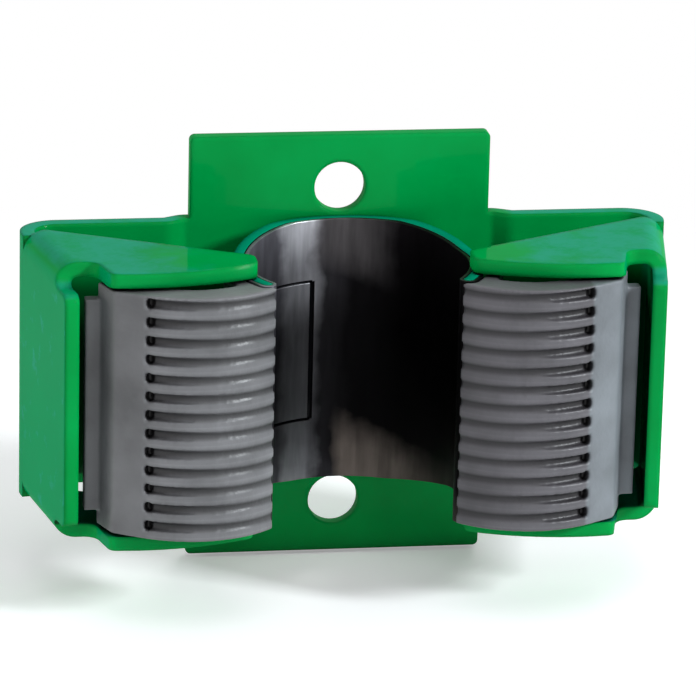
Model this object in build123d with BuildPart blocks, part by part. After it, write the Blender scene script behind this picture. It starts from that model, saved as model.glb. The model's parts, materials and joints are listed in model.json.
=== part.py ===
from build123d import *
from math import atan2, cos, degrees, radians, sin, tan
import os

# Wall-mounted spring-clip tool hanger.
# A folded sheet-steel bracket carries a spring clamp bent to most of a circle, a thin bare-metal
# liner inside the clamp, and two ribbed rubber pads that guide a tool's handle into the mouth.
#
# Frame: the back face of the bracket's plate is the XZ plane, with the wall behind it at +Y.
# The viewer stands at -Y and +Z is up. The part is the same on both sides of the YZ plane.
# Depths are measured forwards, towards -Y, from the front face of the plate.

# Bracket plate, in millimetres like every size here
sheet = 1.8
tab_width = 38.0
tab_rise = 10.5
tab_corner_radius = 0.7
hole_diameter = 6.5
hole_inset = 6.8

# Wings, set forwards of the plate, and the side walls folded forwards from them
overall_width = 81.4
wing_height = 34.2
joggle_depth = 1.2
joggle_start = 0.8
joggle_run = 2.2
joggle_radius = 1.6
corner_radius = 3.0
wall_lean = 10.3
wall_lead = 1.0

# Flanges, folded inwards from the top and bottom of each side wall
flange_step = 0.6
flange_fold_radius = 1.0
flange_setback = 1.0
flange_bow = 0.6
tongue_cover = 0.9
tongue_width = 3.6
tongue_inset = 2.6
tongue_round = 0.42

# Relief notch between the front edges of each side wall and each flange
notch_depth = 4.9
notch_width = 4.3
notch_slant = 14.0
notch_below_fold = 0.1
notch_radius = 2.0
wall_corner_radius = 1.1
flange_corner_radius = 1.1

# Spring clamp
clamp_thickness = 1.3
clamp_bore_radius = 14.2
clamp_wrap = 123.4
clamp_end_gap = 0.3
clamp_taper_start = 3.0
clamp_taper_end = 11.0
clamp_taper_radius = 9.0
seat_depth = 0.1

# Liner, folded round the tips of the clamp, with a lanced tongue in its back
liner_thickness = 0.4
liner_gap = 0.05
liner_return = 9.0
lance_x = 3.6
lance_reach = 10.5
lance_height = 18.2
lance_slit = 0.6
lance_end_slit = 0.35

# Rubber pads
pad_gap = 0.4
pad_thickness = 2.6
grip_gap = 0.1
lip_overlap = 0.95
lip_lead = 1.5
lobe_bulge = 2.86
lobe_lead = 2.0
lobe_thickness = 4.2
lobe_to_wall = 7.65
flap_to_wall = 4.0
flap_corner_radius = 1.6
return_angle = 70.0
return_length = 4.4
lug_to_wall = 0.95
lug_thickness = 2.0
lug_drop = 4.2
heel_thickness = 1.95
heel_start = 50.0
heel_end = 75.0

# Grooves in the pads, shallow at the mouth and ending in a deeper pit
groove_pitch = 2.36
groove_width = 1.15
groove_depth = 0.95
groove_lip_depth = 0.15
groove_lift = 0.4
groove_end_land = 0.3
pit_length = 0.8
pit_height = 1.35
pit_depth = 1.9

os.makedirs("parts", exist_ok=True)


def depth(d):
    """The Y of a point d in front of the plate's front face."""
    return -(sheet + d)


def around(centre, radius, angle):
    """The point on a circle at an angle in degrees from +X towards +Y."""
    return Vector(centre.X + radius * cos(radians(angle)), centre.Y + radius * sin(radians(angle)))


def edge_at(x, y, z):
    """The edge that passes nearest to a point."""
    return edges().sort_by_distance((x, y, z))[0]


# Heights, worked out from the wings
tab_height = wing_height + 2 * tab_rise
hole_pitch = tab_height - 2 * hole_inset
flange_top = wing_height / 2 + flange_step
flange_under = flange_top - sheet
fold_outer = flange_fold_radius + sheet
notch_z = flange_top - fold_outer - notch_below_fold
clamp_end_z = flange_under - clamp_end_gap
pad_z = flange_under - pad_gap

# Clamp in plan: most of a circle, flattened where it sits on the plate
clamp_mid_radius = clamp_bore_radius + clamp_thickness / 2
clamp_outer_radius = clamp_bore_radius + clamp_thickness
clamp_centre = Vector(0, depth(clamp_outer_radius - seat_depth))
forward = 180 - clamp_wrap
tip = around(clamp_centre, clamp_mid_radius, forward - 90)
tip_mirrored = Vector(-tip.X, tip.Y)
tip_depth = -tip.Y - sheet

# Side wall in plan, on the +X side, leaning inwards as it runs forwards
lean = radians(wall_lean)
along = Vector(-sin(lean), -cos(lean))
outward = Vector(cos(lean), -sin(lean))
corner_mid = corner_radius + sheet / 2
corner_outer = corner_radius + sheet
corner_centre = Vector(overall_width / 2 - corner_outer, depth(joggle_depth - sheet + corner_outer))
wing_mid_y = depth(joggle_depth - sheet / 2)
corner_apex = Vector(corner_centre.X + corner_mid * (1 + sin(lean)) / cos(lean), wing_mid_y)
wall_front_depth = tip_depth + wall_lead
wall_start = corner_centre + outward * corner_outer + along * flange_setback
wall_length = (wall_start.Y - depth(wall_front_depth)) / cos(lean)
wall_end = wall_start + along * wall_length
wall_end_inner = wall_end - outward * sheet

# Flange and tongue in plan
flange_root = wall_start - outward * fold_outer
tongue_x = tip.X + tongue_cover
tongue_front_depth = wall_front_depth - tongue_inset
tongue_rear_depth = tongue_front_depth - tongue_width
bow_x = (tongue_x + wall_end_inner.X) / 2
notch_x = wall_end.X - notch_width
notch_rear_depth = wall_front_depth - notch_depth
notch_slope = tan(radians(notch_slant))
notch_front_x = notch_x - (notch_depth + flange_bow) * notch_slope

# Relief notch as a solid, wider towards the front, with a rounded root
with BuildPart() as notch:
    with BuildSketch(Plane.XY.offset(notch_z)):
        with BuildLine():
            notch_rear_y = depth(notch_rear_depth)
            Polyline(
                (notch_x, notch_rear_y),
                (notch_x - overall_width * notch_slope, notch_rear_y - overall_width),
                (notch_x + overall_width, notch_rear_y - overall_width),
                (notch_x + overall_width, notch_rear_y),
                close=True,
            )
        make_face()
        root = vertices().sort_by_distance((notch_x, notch_rear_y))[0]
        fillet(root, radius=notch_radius)
    extrude(amount=flange_top)
    fillet(edge_at(notch_x + overall_width / 2, notch_rear_y, notch_z), radius=notch_radius)
    mirror(about=Plane.XY)

# Hollow between the two flanges of a side wall, with the inner radius of their folds
with BuildPart() as hollow:
    hollow_rear = wall_start - outward * sheet - along * sheet
    hollow_front = wall_end_inner + along * tongue_width
    with BuildSketch(Plane.XY.offset(-flange_under)):
        with BuildLine():
            Polyline(
                hollow_rear,
                hollow_front,
                (0, hollow_front.Y),
                (0, hollow_rear.Y),
                close=True,
            )
        make_face()
    extrude(amount=2 * flange_under)
    hollow_mid = (hollow_rear + hollow_front) * 0.5
    for level in (-flange_under, flange_under):
        fillet(edge_at(hollow_mid.X, hollow_mid.Y, level), radius=flange_fold_radius)

# Side wall with both its flanges
with BuildPart() as side:
    with BuildSketch(Plane.XY.offset(-flange_top)):
        with BuildLine():
            tongue_rear = Vector(tongue_x, depth(tongue_rear_depth))
            tongue_front = Vector(tongue_x, depth(tongue_front_depth))
            Line(wall_start, flange_root)
            Line(flange_root, tongue_rear)
            Line(tongue_rear, tongue_front)
            ThreePointArc(tongue_front, (bow_x, depth(wall_front_depth + flange_bow)), wall_end_inner)
            Line(wall_end_inner, wall_end)
            Line(wall_end, wall_start)
        make_face()
        tongue_corners = vertices().sort_by(Axis.X)[:2]
        fillet(tongue_corners, radius=tongue_width * tongue_round)
    extrude(amount=2 * flange_top)
    wall_mid = (wall_start + wall_end) * 0.5
    for level in (-flange_top, flange_top):
        fillet(edge_at(wall_mid.X, wall_mid.Y, level), radius=fold_outer)
    add(hollow.part, mode=Mode.SUBTRACT)
    add(notch.part, mode=Mode.SUBTRACT)
    wall_tip = (wall_end + wall_end_inner) * 0.5
    for level in (-1, 1):
        fillet(edge_at(wall_tip.X, wall_tip.Y, level * notch_z), radius=wall_corner_radius)
        flange_z = level * (flange_top - sheet / 4)
        flange_front = edge_at(notch_front_x, depth(wall_front_depth + flange_bow), flange_z)
        fillet(flange_front, radius=flange_corner_radius)

with BuildPart() as bracket:
    # One strip makes the plate, both wings and both corner bends
    with BuildSketch(Plane.XY.offset(-wing_height / 2)):
        with BuildLine():
            joggle_x = tab_width / 2 + joggle_start
            strip = [
                Vector(0, depth(-sheet / 2)),
                Vector(joggle_x, depth(-sheet / 2)),
                Vector(joggle_x + joggle_run, wing_mid_y),
                corner_apex,
                wall_start - outward * (sheet / 2),
            ]
            FilletPolyline(*strip, radius=[joggle_radius, joggle_radius, corner_mid])
        trace(line_width=sheet)
    extrude(amount=wing_height)
    add(side.part)
    mirror(about=Plane.YZ)
    # Tab above and below, with the two screw holes
    with BuildSketch(Plane.XZ):
        Rectangle(tab_width, tab_height)
        fillet(vertices(), radius=tab_corner_radius)
        with GridLocations(0, hole_pitch, 1, 2):
            Circle(hole_diameter / 2, mode=Mode.SUBTRACT)
    extrude(amount=sheet)

bracket.part.label = "bracket"
export_step(bracket.part, "parts/bracket.step")


def mouth_wedge(half_angle):
    """Everything in front of the clamp's centre within an angle of the forward axis."""
    reach = 5 * clamp_outer_radius
    with BuildSketch() as wedge:
        with BuildLine():
            Polyline(
                clamp_centre,
                around(clamp_centre, reach, half_angle - 90),
                (0, clamp_centre.Y - reach),
                around(clamp_centre, reach, -half_angle - 90),
                close=True,
            )
        make_face()
    return wedge.sketch


def spring_plan(half_thickness):
    """The clamp's spring in plan, to half a thickness either side of its middle, with round tips."""
    mouth = mouth_wedge(forward)
    with BuildSketch() as plan:
        with Locations(clamp_centre):
            Circle(clamp_mid_radius + half_thickness)
            Circle(clamp_mid_radius - half_thickness, mode=Mode.SUBTRACT)
        add(mouth, mode=Mode.SUBTRACT)
        with Locations(tip, tip_mirrored):
            Circle(half_thickness)
    return plan.sketch


def spring_side():
    """The clamp from the side: full height at the plate, lower where it runs between the flanges."""
    with BuildSketch() as outline:
        with BuildLine():
            upper = [
                (0, wing_height / 2),
                (depth(clamp_taper_start), wing_height / 2),
                (depth(clamp_taper_end), clamp_end_z),
                (depth(3 * clamp_outer_radius), clamp_end_z),
            ]
            lower = [(y, -z) for y, z in reversed(upper)]
            Polyline(*upper, *lower, close=True)
        make_face()
        bends = vertices().sort_by(Axis.Y)[2:6]
        fillet(bends, radius=clamp_taper_radius)
    return outline.sketch


clamp_plan = spring_plan(clamp_thickness / 2)
clamp_side = spring_side()

with BuildPart() as clamp:
    with BuildSketch(Plane.XY.offset(-wing_height / 2)):
        add(clamp_plan)
        # Narrow flat where the clamp sits on the plate
        with Locations((0, depth(0))):
            Rectangle(tab_width, seat_depth, align=(Align.CENTER, Align.MIN), mode=Mode.SUBTRACT)
    extrude(amount=wing_height)
    with BuildSketch(Plane.YZ):
        add(clamp_side)
    extrude(amount=overall_width, both=True, mode=Mode.INTERSECT)

clamp.part.label = "clamp"
export_step(clamp.part, "parts/clamp.step")

liner_inner_half = clamp_thickness / 2 + liner_gap
liner_outer_half = liner_inner_half + liner_thickness
liner_outside = spring_plan(liner_outer_half)
liner_inside = spring_plan(liner_inner_half)
liner_hooks = mouth_wedge(forward + liner_return)

with BuildSketch() as liner_trim:
    with Locations(clamp_centre):
        Circle(2 * clamp_outer_radius)
        Circle(clamp_mid_radius, mode=Mode.SUBTRACT)
    add(liner_hooks, mode=Mode.SUBTRACT)

with BuildPart() as liner:
    with BuildSketch(Plane.XY.offset(-wing_height / 2)):
        add(liner_outside)
        add(liner_inside, mode=Mode.SUBTRACT)
        add(liner_trim.sketch, mode=Mode.SUBTRACT)
    extrude(amount=wing_height)
    with BuildSketch(Plane.YZ):
        add(clamp_side)
    extrude(amount=overall_width, both=True, mode=Mode.INTERSECT)
    # Lanced tongue: one upright slit and a narrow slit at each end of it
    lance_plane = Plane.XZ.offset(-clamp_centre.Y)
    with BuildSketch(lance_plane):
        with Locations((-lance_x, 0)):
            Rectangle(lance_slit, lance_height)
        with Locations((-lance_x, -lance_height / 2), (-lance_x, lance_height / 2)):
            Rectangle(lance_reach - lance_x, lance_end_slit, align=(Align.MAX, Align.CENTER))
    extrude(amount=-clamp_outer_radius, mode=Mode.SUBTRACT)

liner.part.label = "liner"
export_step(liner.part, "parts/liner.step")

# Pad in plan, on the +X side: a round lobe, a straight flap, and a return that runs back from the flap
lip = Vector(tip.X - lip_overlap, depth(tip_depth + lip_lead))
lobe_end = Vector(wall_end_inner.X - lobe_to_wall, depth(wall_front_depth + flange_bow + lobe_lead))
chord = lobe_end - lip
chord_side = Vector(-chord.Y, chord.X).normalized()
lobe_radius = (lobe_bulge**2 + chord.length**2 / 4) / (2 * lobe_bulge)
lobe_centre = (lip + lobe_end) * 0.5 + chord_side * (lobe_radius - lobe_bulge)
lip_angle = degrees(atan2(lip.Y - lobe_centre.Y, lip.X - lobe_centre.X))
end_angle = degrees(atan2(lobe_end.Y - lobe_centre.Y, lobe_end.X - lobe_centre.X))
crown_angle = (lip_angle + end_angle) / 2
lobe_inner_radius = lobe_radius - lobe_thickness
flap_inward = (lobe_centre - lobe_end).normalized()
flap_along = Vector(flap_inward.Y, -flap_inward.X)
flap_length = (wall_end_inner.X - flap_to_wall - lobe_end.X) / flap_along.X
flap_corner = lobe_end + flap_along * flap_length
return_along = Vector(cos(radians(return_angle)), sin(radians(return_angle)))
return_inward = Vector(-return_along.Y, return_along.X)
return_end = flap_corner + return_along * return_length
return_end_inner = return_end + return_inward * pad_thickness
bisector = flap_inward + return_inward
flap_corner_inner = flap_corner + bisector * (pad_thickness / (1 + flap_inward.dot(return_inward)))
lug_x = wall_end_inner.X - lug_to_wall
lug_z = flange_top - lug_drop
heel_radius = clamp_mid_radius + liner_outer_half + grip_gap
heel_outer_radius = heel_radius + heel_thickness
grip_plan = spring_plan(liner_outer_half + grip_gap)


def radial_plane(centre, angle):
    """An upright plane through a centre, its x pointing out at an angle, level with the grooves."""
    facing = radians(angle)
    return Plane(
        origin=(centre.X, centre.Y, groove_lift),
        x_dir=(cos(facing), sin(facing), 0),
        z_dir=(sin(facing), -cos(facing), 0),
    )


# Grooves, as many as fit, turned about an axis nearer the lip than the lobe's so that they fade out there
groove_span = 2 * pad_z - groove_width - 2 * groove_end_land
groove_count = int(groove_span / groove_pitch) + 1
groove_shift = (groove_depth - groove_lip_depth) / (1 - cos(radians(end_angle - lip_angle)))
groove_axis = lobe_centre + (lip - lobe_centre).normalized() * groove_shift
groove_floor_radius = lobe_radius - groove_lip_depth - groove_shift
groove_cut = groove_shift + 2 * groove_depth
groove_start = lip_angle - degrees(lobe_thickness / lobe_radius)
groove_end = degrees(atan2(lobe_end.Y - groove_axis.Y, lobe_end.X - groove_axis.X))
pit_turn = degrees(pit_length / lobe_radius)

with BuildPart() as right_pad:
    with BuildSketch(Plane.XY.offset(-pad_z)):
        with BuildLine():
            lip_inner = around(lobe_centre, lobe_inner_radius, lip_angle)
            lobe_end_inner = around(lobe_centre, lobe_inner_radius, end_angle)
            ThreePointArc(lip, around(lobe_centre, lobe_radius, crown_angle), lobe_end)
            Line(lobe_end, flap_corner)
            Line(flap_corner, return_end)
            Line(return_end, return_end_inner)
            Line(return_end_inner, flap_corner_inner)
            Line(flap_corner_inner, lobe_end_inner)
            ThreePointArc(lobe_end_inner, around(lobe_centre, lobe_inner_radius, crown_angle), lip_inner)
            Line(lip_inner, lip)
        make_face()
        fillet(vertices().sort_by_distance(flap_corner)[0], radius=flap_corner_radius)
        # Heel, running back along the outside of the clamp
        with BuildLine():
            heel_mid = (heel_start + heel_end) / 2 - 90
            near_front = around(clamp_centre, heel_radius, heel_start - 90)
            near_rear = around(clamp_centre, heel_radius, heel_end - 90)
            far_front = around(clamp_centre, heel_outer_radius, heel_start - 90)
            far_rear = around(clamp_centre, heel_outer_radius, heel_end - 90)
            ThreePointArc(near_front, around(clamp_centre, heel_radius, heel_mid), near_rear)
            Line(near_rear, far_rear)
            ThreePointArc(far_rear, around(clamp_centre, heel_outer_radius, heel_mid), far_front)
            Line(far_front, near_front)
        make_face()
        add(grip_plan, mode=Mode.SUBTRACT)
    extrude(amount=2 * pad_z)
    # Lug, standing out from the end of the return towards the side wall
    with BuildSketch(Plane.XY.offset(-lug_z)):
        with Locations((lug_x, return_end.Y)):
            Rectangle(lug_x - return_end_inner.X, lug_thickness, align=(Align.MAX, Align.CENTER))
    extrude(amount=2 * lug_z)
    # Grooves round the lobe, each with its pit
    with BuildSketch(radial_plane(groove_axis, groove_start)):
        with Locations((groove_floor_radius + groove_cut / 2, 0)):
            with GridLocations(0, groove_pitch, 1, groove_count):
                Rectangle(groove_cut, groove_width)
    groove_line = Axis((groove_axis.X, groove_axis.Y, 0), (0, 0, 1))
    revolve(axis=groove_line, revolution_arc=groove_end - groove_start, mode=Mode.SUBTRACT)
    with BuildSketch(radial_plane(lobe_centre, end_angle - pit_turn)):
        with Locations((lobe_radius, 0)):
            with GridLocations(0, groove_pitch, 1, groove_count):
                Rectangle(2 * pit_depth, pit_height)
    lobe_line = Axis((lobe_centre.X, lobe_centre.Y, 0), (0, 0, 1))
    revolve(axis=lobe_line, revolution_arc=pit_turn, mode=Mode.SUBTRACT)

right_pad.part.label = "right_pad"
export_step(right_pad.part, "parts/right_pad.step")

with BuildPart() as left_pad:
    add(mirror(right_pad.part, about=Plane.YZ))

left_pad.part.label = "left_pad"
export_step(left_pad.part, "parts/left_pad.step")
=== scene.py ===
"""Looks for the spring-clip tool hanger: camera, studio, and finishes on the shared frame."""

import json
from math import cos, radians, sin

import bpy
from mathutils import Matrix, Vector


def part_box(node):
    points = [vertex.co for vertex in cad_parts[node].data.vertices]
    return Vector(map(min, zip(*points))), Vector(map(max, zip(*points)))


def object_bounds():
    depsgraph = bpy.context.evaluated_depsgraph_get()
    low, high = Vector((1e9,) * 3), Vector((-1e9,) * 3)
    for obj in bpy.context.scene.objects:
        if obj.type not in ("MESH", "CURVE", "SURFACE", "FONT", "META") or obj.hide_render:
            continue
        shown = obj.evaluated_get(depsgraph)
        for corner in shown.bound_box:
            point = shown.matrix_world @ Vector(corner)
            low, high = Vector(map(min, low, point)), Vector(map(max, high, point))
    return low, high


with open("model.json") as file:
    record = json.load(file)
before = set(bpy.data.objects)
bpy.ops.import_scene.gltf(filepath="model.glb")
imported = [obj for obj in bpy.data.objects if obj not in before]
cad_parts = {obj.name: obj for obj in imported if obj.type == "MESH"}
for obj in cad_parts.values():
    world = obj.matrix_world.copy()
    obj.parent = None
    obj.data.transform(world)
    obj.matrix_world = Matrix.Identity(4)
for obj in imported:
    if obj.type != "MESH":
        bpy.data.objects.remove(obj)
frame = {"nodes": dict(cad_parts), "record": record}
nodes = frame["nodes"]
cad_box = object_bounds()

# Camera, fitted to the photograph
AZIMUTH = radians(-9.2)
ELEVATION = radians(18.0)
ROLL = radians(1.37)
DISTANCE = 0.6363
LENS = 263.3
SENSOR = 36.0
CLIP_START = 0.01
CLIP_END = 20
TARGET = Vector((0, -0.012, 0))
AIM_UP = 0.00267
AIM_RIGHT = -0.00009

# Clamp, as in the CAD; its faces within the slack of the bore lie under the liner
handle_seat = next(mount for mount in frame["record"]["mounts"] if mount["name"] == "handle_seat")
CLAMP_AXIS = handle_seat["pos_m"]
CLAMP_BORE_RADIUS = 0.0142
BORE_SLACK = 0.0001

# Paint colours: the base, its dark and light mottling, the painted sheen on top, and the bluer painted
# sheen of the outer walls
BRACKET_GREENS = {
    "base": (0.0, 0.3, 0.055),
    "dark": (0.0, 0.27, 0.048),
    "light": (0.0, 0.33, 0.065),
    "sheen": (0.01, 0.31, 0.17),
    "wall_sheen": (0.0, 0.29, 0.11),
}
CLAMP_GREENS = {
    "base": (0.0, 0.25, 0.13),
    "dark": (0.0, 0.22, 0.115),
    "light": (0.0, 0.29, 0.15),
    "sheen": (0.01, 0.3, 0.18),
    "wall_sheen": (0.0, 0.25, 0.13),
}
# Painted shade: near black on the clamp's inner face under the liner
SHADE_UNDER_LINER = (0.004, 0.004, 0.005, 1)
# How far the outer walls go over to the bluer painted sheen
LEAN_TO_BLUE = 0.75

# Which way a painted face looks: where its normal's share starts to count, and counts in full
LOOKS_UP = (0.5, 0.9)
LOOKS_SIDEWAYS = (0.8, 0.96)
NOT_OUTWARDS = (0.5, 0.2)
NOT_REARWARDS = (0.6, 0.3)

# Painted sheen and its pale specks: where the outer ends begin, raggedly, and the part of a noise that
# shows
SHEEN_START = 0.034
SHEEN_FULL = 0.042
SHEEN_RAGGED = 0.03
SHEEN_PATCHES = (0.3, 0.6)
SPECKS = (0.58, 0.7)

# Paint's gloss and rounded edges, and the shade in its crevices by how open they are
PAINT_COAT = 0.1
PAINT_COAT_ROUGHNESS = 0.07
PAINT_ROUGHNESS = (0.14, 0.3)
PAINT_EDGE = 0.0009
CREVICE_REACH = 0.006
CREVICE_SHADE = ((0.0, 0.02), (0.3, 0.25), (0.6, 0.92), (0.8, 1.0))

# Shade in the side pockets, from the lower flange up, and behind the side walls' front edges
POCKET_FLOOR_Z = -0.0161
POCKET_FLOOR_FADE = 0.0004
POCKET_SHADE_Z = 0.0125
POCKET_SHADE_FADE = 0.005
POCKET_FRONT_Y = -0.0262
POCKET_FRONT_FADE = 0.0025
POCKET_SHADE = (0.16, 0.16, 0.16, 1)

# Bare steel, across the liner from left to right, with painted light: grey on the left, a painted
# reflection in a bright band, painted shade on the right
LINER_HALF_WIDTH = 0.014
STEEL_LIGHT_ACROSS = (
    (0.0, (0.085, 0.083, 0.096)),
    (0.2, (0.08, 0.078, 0.09)),
    (0.25, (0.26, 0.26, 0.28)),
    (0.36, (0.24, 0.24, 0.26)),
    (0.42, (0.03, 0.029, 0.033)),
    (0.55, (0.005, 0.0045, 0.0055)),
    (0.8, (0.003, 0.0025, 0.003)),
    (1.0, (0.003, 0.0025, 0.003)),
)
# The same steel from foot to rim: darkest below the middle
LINER_HALF_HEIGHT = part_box("liner")[1][2]
STEEL_UP = (
    (0.0, 0.8),
    (0.06, 0.45),
    (0.14, 0.28),
    (0.3, 0.24),
    (0.6, 0.36),
    (0.8, 0.85),
    (0.9, 1.6),
    (1.0, 2.6),
)
STEEL_DRIFT = 0.004
STEEL_LINES = ((0.3, 0.75), (0.7, 1.2))
STEEL_ROUGHNESS = (0.5, 0.34)
# Rubbed patches at the foot and below the rim: reach in X and in tilted height, and colour
PATCH_SLOPE = 0.35
FOOT_X = (-0.001, 0.014)
FOOT_ACROSS = ((0.0, 0.0), (0.12, 1.0), (0.6, 0.7), (1.0, 0.25))
FOOT_Z = (-0.0165, -0.008)
FOOT_UP = ((0.0, 1.0), (0.5, 0.75), (1.0, 0.0))
FOOT_COLOUR = (0.12, 0.1, 0.088, 1)
RIM_X = (-0.004, 0.007)
RIM_ACROSS = ((0.0, 0.0), (0.2, 1.0), (0.7, 0.8), (1.0, 0.0))
RIM_Z = (0.009, 0.016)
RIM_UP = ((0.0, 0.0), (0.6, 0.8), (1.0, 1.0))
RIM_COLOUR = (0.07, 0.065, 0.068, 1)

# Rubber: dusty tones, painted light and shade on the right pad, and painted shade by how open a groove
# is
DUSTY_RUBBER = (
    (0.3, (0.106, 0.107, 0.111)),
    (0.5, (0.147, 0.148, 0.154)),
    (0.75, (0.19, 0.192, 0.2)),
)
RIGHT_FLAP_LIGHT = (1.1, 1.2, 1.25, 1)
RIGHT_RIBS_SHADE = (0.66, 0.63, 0.66, 1)
RUBBER_ROUGHNESS = (0.33, 0.46)
GROOVE_REACH = 0.0016
GROOVE_SHADE = (
    (0.3, (0.02, 0.018, 0.02)),
    (0.55, (0.4, 0.37, 0.38)),
    (0.85, (0.95, 0.95, 0.96)),
    (1.0, (1.0, 1.0, 1.0)),
)

# Pads' grooves, as in the CAD, and the painted light and shade across one rib and groove
GROOVE_PITCH = 0.00236
GROOVE_TONE_RISE = 0.0004
GROOVE_PHASE = 0.5 - GROOVE_TONE_RISE / GROOVE_PITCH
GROOVE_INNER_X = 0.0104
GROOVE_OUTER_X = 0.0276
LIP_FADE = 0.0012
PIT_FADE = 0.0006
RIB_LIGHT_AND_SHADE = ((0.0, 1.12), (0.22, 1.0), (0.38, 0.48), (0.6, 0.22), (0.76, 1.0), (1.0, 1.25))

# Meshes: seams closer than the weld join, sheet edges over the angle are rounded by these widths
WELD_DISTANCE = 0.000005
EDGE_SEGMENTS = 3
EDGE_ANGLE = radians(32)
BRACKET_EDGE = 0.0004
CLAMP_EDGE = 0.00015
LINER_EDGE = 0.00008
# The pads' even fine mesh, and how often it is smoothed
MOULD_GRAIN = 0.00024
MOULD_SOFTENING = 2

# Studio
BACKDROP_WHITE = (1.0, 1.0, 1.0)
AMBIENT_COLOUR = (0.9, 0.93, 1.0, 1)
AMBIENT_STRENGTH = 0.3
FLOOR_COLOUR = (0.92, 0.92, 0.92, 1)
FLOOR_DROP = 0.0005
FLOOR_SIZE = 3.0
NEAR_FLOOR = 0.05
FAR_FLOOR = 0.16
FLOOR_LIFT = 0.25
NEUTRAL = (1.0, 1.0, 1.0)
COOL = (0.95, 1.0, 1.03)
WARM = (1.0, 0.98, 0.95)
# Name, place, size, power, colour, and whether it shows in reflections
LIGHTS = (
    ("key", (0.66, -0.46, 0.42), 0.14, 7.3, COOL, True),
    ("left", (-0.7, -0.06, 0.14), 0.2, 1.8, WARM, False),
    ("front", (0.2, -0.9, -0.12), 0.3, 1.6, NEUTRAL, False),
    ("top", (0.0, -0.3, 0.7), 0.4, 1.0, NEUTRAL, True),
    ("rear", (0.35, 0.8, 0.4), 0.4, 2.6, NEUTRAL, False),
)


def add_camera():
    """An ordinary perspective camera at the photograph's angle."""
    back = Vector(
        (
            sin(AZIMUTH) * cos(ELEVATION),
            -cos(AZIMUTH) * cos(ELEVATION),
            sin(ELEVATION),
        )
    )
    flat_right = Vector((cos(AZIMUTH), sin(AZIMUTH), 0))
    flat_up = back.cross(flat_right)
    right = flat_right * cos(ROLL) + flat_up * sin(ROLL)
    up = flat_up * cos(ROLL) - flat_right * sin(ROLL)
    eye = TARGET + back * DISTANCE
    aim = TARGET + up * AIM_UP + right * AIM_RIGHT
    view_back = (eye - aim).normalized()
    view_right = up.cross(view_back).normalized()
    view_up = view_back.cross(view_right)
    data = bpy.data.cameras.new("camera")
    data.lens = LENS
    data.sensor_width = SENSOR
    data.clip_start = CLIP_START
    data.clip_end = CLIP_END
    camera = bpy.data.objects.new("camera", data)
    turn = Matrix((view_right, view_up, view_back)).transposed().to_4x4()
    camera.matrix_world = Matrix.Translation(eye) @ turn
    bpy.context.scene.collection.objects.link(camera)
    bpy.context.scene.camera = camera


def area_light(name, place, size, power, colour, reflected):
    """A soft square light that faces the part, and shows or doesn't show in reflections."""
    data = bpy.data.lights.new(name, "AREA")
    data.shape = "SQUARE"
    data.size = size
    data.energy = power
    data.color = colour
    light = bpy.data.objects.new(name, data)
    light.location = place
    facing = TARGET - Vector(place)
    light.rotation_euler = facing.to_track_quat("-Z", "Y").to_euler()
    light.visible_glossy = reflected
    bpy.context.scene.collection.objects.link(light)


def adder(tree):
    """A function that adds a node to a tree, with its inputs linked or set."""

    def add(kind, inputs=None, **settings):
        node = tree.nodes.new(kind)
        for key, value in settings.items():
            setattr(node, key, value)
        for key, value in (inputs or {}).items():
            if isinstance(value, bpy.types.NodeSocket):
                tree.links.new(value, node.inputs[key])
            else:
                node.inputs[key].default_value = value
        return node

    return add


def new_material(name):
    """A material with its node tree, its shader and a function that adds nodes."""
    material = bpy.data.materials.new(name)
    material.use_nodes = True
    tree = material.node_tree
    return material, tree, tree.nodes["Principled BSDF"], adder(tree)


def larger(add, a, b):
    """The larger of two values."""
    return add("ShaderNodeMath", {0: a, 1: b}, operation="MAXIMUM").outputs["Value"]


def without_sign(add, value):
    """A value without its sign."""
    return add("ShaderNodeMath", {0: value}, operation="ABSOLUTE").outputs["Value"]


def seen_rays(add):
    """1 for rays that show the background: from the camera, or by reflection or through glass."""
    path = add("ShaderNodeLightPath")
    mirrored = larger(add, path.outputs["Is Camera Ray"], path.outputs["Is Glossy Ray"])
    return larger(add, mirrored, path.outputs["Is Transmission Ray"])


def colour_ramp(add, factor, stops):
    """A colour ramp over a factor, from (position, colour) stops."""
    ramp = add("ShaderNodeValToRGB", {"Fac": factor})
    band = ramp.color_ramp
    while len(band.elements) < len(stops):
        band.elements.new(1.0)
    for element, (position, colour) in zip(band.elements, stops):
        element.position = position
        element.color = (*colour, 1)
    return ramp.outputs["Color"]


# A mix node's colour sockets, by index, because its number and vector sockets share their names
MIX_FACTOR, MIX_A, MIX_B, MIX_OUT = 0, 6, 7, 2


def mix_colours(add, factor, a, b, blend="MIX"):
    """Blends two colours, each a socket or a colour with alpha."""
    node = add("ShaderNodeMix", data_type="RGBA", blend_type=blend)
    for index, value in ((MIX_FACTOR, factor), (MIX_A, a), (MIX_B, b)):
        if isinstance(value, bpy.types.NodeSocket):
            node.id_data.links.new(value, node.inputs[index])
        else:
            node.inputs[index].default_value = value
    return node.outputs[MIX_OUT]


def multiply_colours(add, a, b):
    """Multiplies two colours."""
    return mix_colours(add, 1.0, a, b, "MULTIPLY")


def greys(stops):
    """Neutral ramp stops from (position, value) pairs."""
    return [(position, (value, value, value)) for position, value in stops]


def smoothly(add, value, start, end):
    """A soft step from 0 to 1 as a value runs from start to end."""
    step = add(
        "ShaderNodeMapRange",
        {"Value": value, "From Min": start, "From Max": end},
        interpolation_type="SMOOTHSTEP",
    )
    return step.outputs["Result"]


# The tones that most of a noise's values lie between
MIDDLE_TONES = (0.3, 0.7)


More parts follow.
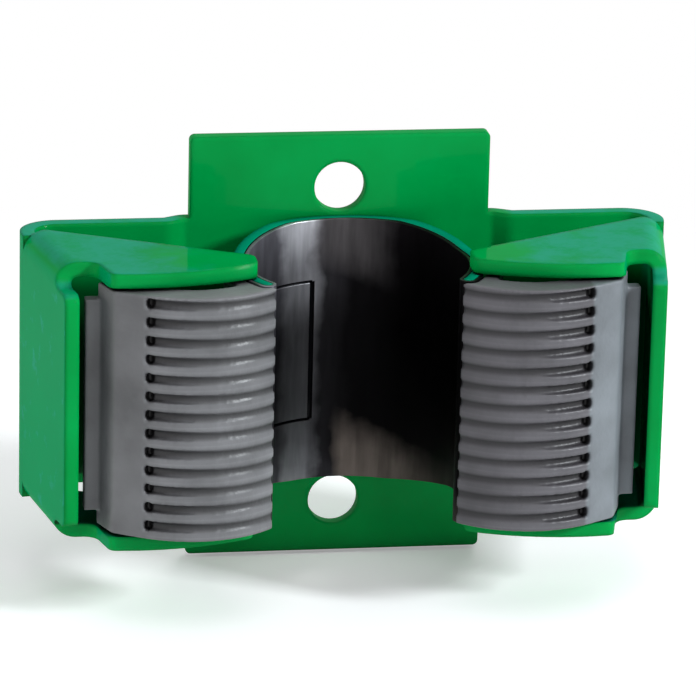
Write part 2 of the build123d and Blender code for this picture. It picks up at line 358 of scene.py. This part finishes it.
def roughness(add, noise, reach):
    """A roughness that runs over its reach with the middle tones of a noise."""
    spread = add(
        "ShaderNodeMapRange",
        {
            "Value": noise,
            "From Min": MIDDLE_TONES[0],
            "From Max": MIDDLE_TONES[1],
            "To Min": reach[0],
            "To Max": reach[1],
        },
    )
    return spread.outputs["Result"]


def product(add, first, *rest):
    """Multiplies values."""
    for value in rest:
        first = add("ShaderNodeMath", {0: first, 1: value}, operation="MULTIPLY").outputs["Value"]
    return first


def painted_sheen(add, place, spot, facing, tone, sheen, wall_sheen):
    """Adds painted sheen in patches on top, and a bluer painted sheen with pale specks of it on the
    outer walls.
    """
    outwards = without_sign(add, spot.outputs["X"])
    cloud = add("ShaderNodeTexNoise", {"Vector": place, "Scale": 150.0, "Detail": 5.0})
    ragged = add(
        "ShaderNodeMath",
        {0: cloud.outputs["Fac"], 1: SHEEN_RAGGED, 2: outwards},
        operation="MULTIPLY_ADD",
    )
    far_out = smoothly(add, ragged.outputs["Value"], SHEEN_START, SHEEN_FULL)
    rubbed_and_sheen = add(
        "ShaderNodeTexNoise", {"Vector": place, "Scale": 210.0, "Detail": 8.0, "Roughness": 0.7}
    )
    patchy = smoothly(add, rubbed_and_sheen.outputs["Fac"], *SHEEN_PATCHES)
    upwards = smoothly(add, facing.outputs["Z"], *LOOKS_UP)
    sheen_on_top = product(add, far_out, patchy, upwards)
    sideways = without_sign(add, facing.outputs["X"])
    on_wall = product(add, far_out, smoothly(add, sideways, *LOOKS_SIDEWAYS))
    on_outside = larger(add, on_wall, product(add, far_out, upwards))
    leaning = mix_colours(add, LEAN_TO_BLUE, tone, (*wall_sheen, 1))
    plain_walls = mix_colours(add, on_outside, tone, leaning)
    specks = add(
        "ShaderNodeTexNoise", {"Vector": place, "Scale": 420.0, "Detail": 5.0, "Roughness": 0.6}
    )
    speckled = product(add, smoothly(add, specks.outputs["Fac"], *SPECKS), on_wall)
    walls = mix_colours(add, speckled, plain_walls, (*sheen, 1))
    return mix_colours(add, sheen_on_top, walls, (*sheen, 1))


def pocket_shade(add, spot, facing):
    """White, but dark on the faces inside the side pockets that don't look outwards or to the rear."""
    side_sign = add("ShaderNodeMath", {0: spot.outputs["X"]}, operation="SIGN").outputs["Value"]
    looks_out = product(add, facing.outputs["X"], side_sign)
    in_pocket = product(
        add,
        smoothly(add, spot.outputs["Z"], POCKET_FLOOR_Z, POCKET_FLOOR_Z + POCKET_FLOOR_FADE),
        smoothly(add, spot.outputs["Z"], POCKET_SHADE_Z, POCKET_SHADE_Z - POCKET_SHADE_FADE),
        smoothly(add, spot.outputs["Y"], POCKET_FRONT_Y, POCKET_FRONT_Y + POCKET_FRONT_FADE),
        smoothly(add, looks_out, *NOT_OUTWARDS),
        smoothly(add, facing.outputs["Y"], *NOT_REARWARDS),
    )
    return mix_colours(add, in_pocket, (1, 1, 1, 1), POCKET_SHADE)


def painted(name, base, dark, light, sheen, wall_sheen):
    """Paint on sheet steel, under a thin gloss: faint mottling, painted sheen, painted shade in pockets
    and crevices, soft edges.
    """
    material, tree, shader, add = new_material(name)
    place = add("ShaderNodeTexCoord").outputs["Object"]
    spot = add("ShaderNodeSeparateXYZ", {"Vector": place})
    facing = add("ShaderNodeSeparateXYZ", {"Vector": add("ShaderNodeNewGeometry").outputs["Normal"]})
    mottle = add("ShaderNodeTexNoise", {"Vector": place, "Scale": 90.0, "Detail": 6.0})
    tone = colour_ramp(add, mottle.outputs["Fac"], [(0.3, dark), (0.5, base), (0.72, light)])
    # Painted sheen, then painted shade in the pockets and crevices
    sheened = painted_sheen(add, place, spot, facing, tone, sheen, wall_sheen)
    inside = multiply_colours(add, sheened, pocket_shade(add, spot, facing))
    hidden = add("ShaderNodeAmbientOcclusion", {"Distance": CREVICE_REACH}, samples=4)
    shade = colour_ramp(add, hidden.outputs["AO"], greys(CREVICE_SHADE))
    colour = multiply_colours(add, inside, shade)
    rough = roughness(add, mottle.outputs["Fac"], PAINT_ROUGHNESS)
    fine = add("ShaderNodeTexNoise", {"Vector": place, "Scale": 260.0, "Detail": 2.0})
    soft_edge = add("ShaderNodeBevel", {"Radius": PAINT_EDGE}, samples=6).outputs["Normal"]
    bump = add(
        "ShaderNodeBump",
        {"Height": fine.outputs["Fac"], "Strength": 0.05, "Distance": 0.0003, "Normal": soft_edge},
    )
    tree.links.new(colour, shader.inputs["Base Color"])
    tree.links.new(rough, shader.inputs["Roughness"])
    tree.links.new(bump.outputs["Normal"], shader.inputs["Normal"])
    tree.links.new(soft_edge, shader.inputs["Coat Normal"])
    shader.inputs["Specular IOR Level"].default_value = 0.0
    shader.inputs["Coat Weight"].default_value = PAINT_COAT
    shader.inputs["Coat Roughness"].default_value = PAINT_COAT_ROUGHNESS
    return material, tree, shader, add, colour


def clamp_paint():
    """The clamp's paint, with painted shade, near black, on the inner face that the liner covers."""
    material, tree, shader, add, colour = painted("clamp_green", **CLAMP_GREENS)
    place = add("ShaderNodeTexCoord").outputs["Object"]
    from_axis = add("ShaderNodeVectorMath", {0: place, 1: CLAMP_AXIS}, operation="SUBTRACT")
    flat = add(
        "ShaderNodeVectorMath", {0: from_axis.outputs["Vector"], 1: (1, 1, 0)}, operation="MULTIPLY"
    )
    radius = add("ShaderNodeVectorMath", {0: flat.outputs["Vector"]}, operation="LENGTH")
    outside = add(
        "ShaderNodeMath",
        {0: radius.outputs["Value"], 1: CLAMP_BORE_RADIUS + BORE_SLACK},
        operation="GREATER_THAN",
    )
    mixed = mix_colours(add, outside.outputs["Value"], SHADE_UNDER_LINER, colour)
    tree.links.new(mixed, shader.inputs["Base Color"])
    return material


def bare_steel():
    """Thin bare steel with painted light: grey on the left, a painted reflection in a bright streak,
    then painted shade to the right, with stains.
    """
    material, tree, shader, add = new_material("bare_steel")
    place = add("ShaderNodeTexCoord").outputs["Object"]
    drift = add("ShaderNodeTexNoise", {"Vector": place, "Scale": 160.0, "Detail": 4.0})
    wander = add(
        "ShaderNodeMath",
        {0: drift.outputs["Fac"], 1: STEEL_DRIFT, 2: -STEEL_DRIFT / 2},
        operation="MULTIPLY_ADD",
    )
    split = add("ShaderNodeSeparateXYZ", {"Vector": place})
    across = add("ShaderNodeMath", {0: split.outputs["X"], 1: wander.outputs["Value"]}, operation="ADD")
    height = add("ShaderNodeMath", {0: split.outputs["Z"], 1: wander.outputs["Value"]}, operation="ADD")

    def ramp_over(value, reach, stops):
        part = add("ShaderNodeMapRange", {"Value": value, "From Min": reach[0], "From Max": reach[1]})
        return colour_ramp(add, part.outputs["Result"], stops)

    # Painted light: grey on the left, a painted reflection at the streak, painted shade on the right;
    # the streak shows again at the foot
    light_across = ramp_over(across.outputs["Value"], (-LINER_HALF_WIDTH, LINER_HALF_WIDTH), STEEL_LIGHT_ACROSS)
    fade = ramp_over(height.outputs["Value"], (-LINER_HALF_HEIGHT, LINER_HALF_HEIGHT), greys(STEEL_UP))
    shaded = multiply_colours(add, light_across, fade)
    # Brown-grey rubbed patch at the foot, right of the middle, and a fainter one below the upper rim
    slope = product(add, across.outputs["Value"], PATCH_SLOPE)
    raised = add("ShaderNodeMath", {0: height.outputs["Value"], 1: slope}, operation="ADD")
    tilted = raised.outputs["Value"]
    foot_side = ramp_over(across.outputs["Value"], FOOT_X, greys(FOOT_ACROSS))
    foot = multiply_colours(add, foot_side, ramp_over(tilted, FOOT_Z, greys(FOOT_UP)))
    rubbed_and_sheen = mix_colours(add, foot, shaded, FOOT_COLOUR)
    rim_side = ramp_over(across.outputs["Value"], RIM_X, greys(RIM_ACROSS))
    rim = multiply_colours(add, rim_side, ramp_over(tilted, RIM_Z, greys(RIM_UP)))
    stained = mix_colours(add, rim, rubbed_and_sheen, RIM_COLOUR)
    grain = add("ShaderNodeMapping", {"Vector": place, "Scale": (1.0, 1.0, 0.12)})
    lines = add("ShaderNodeTexNoise", {"Vector": grain.outputs["Vector"], "Scale": 900.0, "Detail": 3.0})
    worn = colour_ramp(add, lines.outputs["Fac"], greys(STEEL_LINES))
    colour = multiply_colours(add, stained, worn)
    rough = roughness(add, drift.outputs["Fac"], STEEL_ROUGHNESS)
    bump = add("ShaderNodeBump", {"Height": lines.outputs["Fac"], "Strength": 0.06, "Distance": 0.0001})
    tree.links.new(colour, shader.inputs["Base Color"])
    tree.links.new(rough, shader.inputs["Roughness"])
    tree.links.new(bump.outputs["Normal"], shader.inputs["Normal"])
    shader.inputs["Metallic"].default_value = 0.8
    shader.inputs["Specular IOR Level"].default_value = 0.1
    return material


def rubber():
    """Satin grey rubber, a little dusty, with painted shade in the grooves and pits and painted light
    and shade across the ribs.
    """
    material, tree, shader, add = new_material("rubber")
    place = add("ShaderNodeTexCoord").outputs["Object"]
    dust = add("ShaderNodeTexNoise", {"Vector": place, "Scale": 130.0, "Detail": 6.0})
    worn = colour_ramp(add, dust.outputs["Fac"], DUSTY_RUBBER)
    # Painted shade where a groove or pit is closed in
    hidden = add("ShaderNodeAmbientOcclusion", {"Distance": GROOVE_REACH}, samples=4)
    groove_shading = colour_ramp(add, hidden.outputs["AO"], GROOVE_SHADE)
    # Painted light on the ribs and painted shade in the grooves, from the lip to the pits
    split = add("ShaderNodeSeparateXYZ", {"Vector": place})
    turns = add(
        "ShaderNodeMath",
        {0: split.outputs["Z"], 1: 1 / GROOVE_PITCH, 2: GROOVE_PHASE},
        operation="MULTIPLY_ADD",
    )
    within = add("ShaderNodeMath", {0: turns.outputs["Value"]}, operation="FRACT")
    rib_light_and_shade = colour_ramp(add, within.outputs["Value"], greys(RIB_LIGHT_AND_SHADE))
    outwards = without_sign(add, split.outputs["X"])
    inside_pits = smoothly(add, outwards, GROOVE_OUTER_X, GROOVE_OUTER_X - PIT_FADE)
    past_lip = smoothly(add, outwards, GROOVE_INNER_X, GROOVE_INNER_X + LIP_FADE)
    ribbed = product(add, inside_pits, past_lip)
    painted_rib_stripes = mix_colours(add, ribbed, (1, 1, 1, 1), rib_light_and_shade)
    # Painted shade on the right pad's ribs, and painted light, a little paler and bluer, on its flap
    on_right = add("ShaderNodeMath", {0: split.outputs["X"], 1: 0.0}, operation="GREATER_THAN")
    right_light_and_shade = mix_colours(add, ribbed, RIGHT_FLAP_LIGHT, RIGHT_RIBS_SHADE)
    side_light_and_shade = mix_colours(add, on_right.outputs["Value"], (1, 1, 1, 1), right_light_and_shade)
    dust_and_side_light = multiply_colours(add, worn, side_light_and_shade)
    striped = multiply_colours(add, dust_and_side_light, painted_rib_stripes)
    colour = multiply_colours(add, striped, groove_shading)
    patches = add("ShaderNodeTexNoise", {"Vector": place, "Scale": 60.0, "Detail": 3.0})
    rough = roughness(add, patches.outputs["Fac"], RUBBER_ROUGHNESS)
    grain = add("ShaderNodeTexNoise", {"Vector": place, "Scale": 1500.0, "Detail": 3.0})
    bump = add("ShaderNodeBump", {"Height": grain.outputs["Fac"], "Strength": 0.25, "Distance": 0.0002})
    tree.links.new(colour, shader.inputs["Base Color"])
    tree.links.new(rough, shader.inputs["Roughness"])
    tree.links.new(bump.outputs["Normal"], shader.inputs["Normal"])
    shader.inputs["Specular IOR Level"].default_value = 0.34
    return material


def weld_node(name, material):
    """Gives a CAD node its finish and joins the faces of its mesh."""
    node = nodes[name]
    node.data.materials.clear()
    node.data.materials.append(material)
    weld = node.modifiers.new("weld", "WELD")
    weld.merge_threshold = WELD_DISTANCE
    return node


def finish_node(name, material, edge):
    """Gives a sheet part its finish, and its edges a small true rounding."""
    node = weld_node(name, material)
    bevel = node.modifiers.new("edges", "BEVEL")
    bevel.width = edge
    bevel.segments = EDGE_SEGMENTS
    bevel.limit_method = "ANGLE"
    bevel.angle_limit = EDGE_ANGLE
    smooth = node.modifiers.new("normals", "WEIGHTED_NORMAL")
    smooth.keep_sharp = True


def mould_node(name, material):
    """Gives a rubber part its finish, and the soft edges of a moulding by an even fine mesh."""
    node = weld_node(name, material)
    even = node.modifiers.new("even", "REMESH")
    even.mode = "VOXEL"
    even.voxel_size = MOULD_GRAIN
    even.use_smooth_shade = True
    soften = node.modifiers.new("soften", "SMOOTH")
    soften.factor = 0.5
    soften.iterations = MOULD_SOFTENING


add_camera()

# Floor: pale, with the part's shadow
floor_level = cad_box[0][2] - FLOOR_DROP
bpy.ops.mesh.primitive_plane_add(size=FLOOR_SIZE, location=(0, 0, floor_level))
floor = bpy.context.object
floor.name = "floor"
floor_material, floor_tree, floor_shader, floor_add = new_material("floor")
floor_shader.inputs["Base Color"].default_value = FLOOR_COLOUR
floor_shader.inputs["Roughness"].default_value = 0.9
floor_shader.inputs["Specular IOR Level"].default_value = 0.0
# Where it is seen, straight or in a reflection, the floor goes over to plain white away from the part
floor_place = floor_add("ShaderNodeTexCoord").outputs["Object"]
floor_radius = floor_add("ShaderNodeVectorMath", {0: floor_place}, operation="LENGTH")
far_floor = smoothly(floor_add, floor_radius.outputs["Value"], NEAR_FLOOR, FAR_FLOOR)
floor_seen = seen_rays(floor_add)
floor_lift = floor_add("ShaderNodeEmission", {"Strength": product(floor_add, floor_seen, FLOOR_LIFT)})
floor_lit = floor_add(
    "ShaderNodeAddShader", {0: floor_shader.outputs["BSDF"], 1: floor_lift.outputs["Emission"]}
)
floor_white = floor_add("ShaderNodeEmission", {"Color": (*BACKDROP_WHITE, 1)})
floor_mix = floor_add(
    "ShaderNodeMixShader",
    {
        0: product(floor_add, far_floor, floor_seen),
        1: floor_lit.outputs["Shader"],
        2: floor_white.outputs["Emission"],
    },
)
floor_tree.links.new(floor_mix.outputs["Shader"], floor_tree.nodes["Material Output"].inputs["Surface"])
floor.data.materials.append(floor_material)

# World: white where it is seen or mirrored, a dimmer cool light on the part
world = bpy.data.worlds.new("studio")
bpy.context.scene.world = world
world.use_nodes = True
world_tree = world.node_tree
for node in list(world_tree.nodes):
    world_tree.nodes.remove(node)
world_add = adder(world_tree)
lit = world_add("ShaderNodeBackground", {"Color": AMBIENT_COLOUR, "Strength": AMBIENT_STRENGTH})
white = world_add("ShaderNodeBackground", {"Color": (*BACKDROP_WHITE, 1), "Strength": 1.0})
sky = world_add(
    "ShaderNodeMixShader",
    {0: seen_rays(world_add), 1: lit.outputs["Background"], 2: white.outputs["Background"]},
)
world_add("ShaderNodeOutputWorld", {"Surface": sky.outputs["Shader"]})

for light_settings in LIGHTS:
    area_light(*light_settings)

green = painted("green_paint", **BRACKET_GREENS)[0]
teal = clamp_paint()
steel = bare_steel()
pads = rubber()

finish_node("bracket", green, BRACKET_EDGE)
finish_node("clamp", teal, CLAMP_EDGE)
finish_node("liner", steel, LINER_EDGE)
mould_node("left_pad", pads)
mould_node("right_pad", pads)

bpy.context.scene.view_settings.view_transform = "Standard"
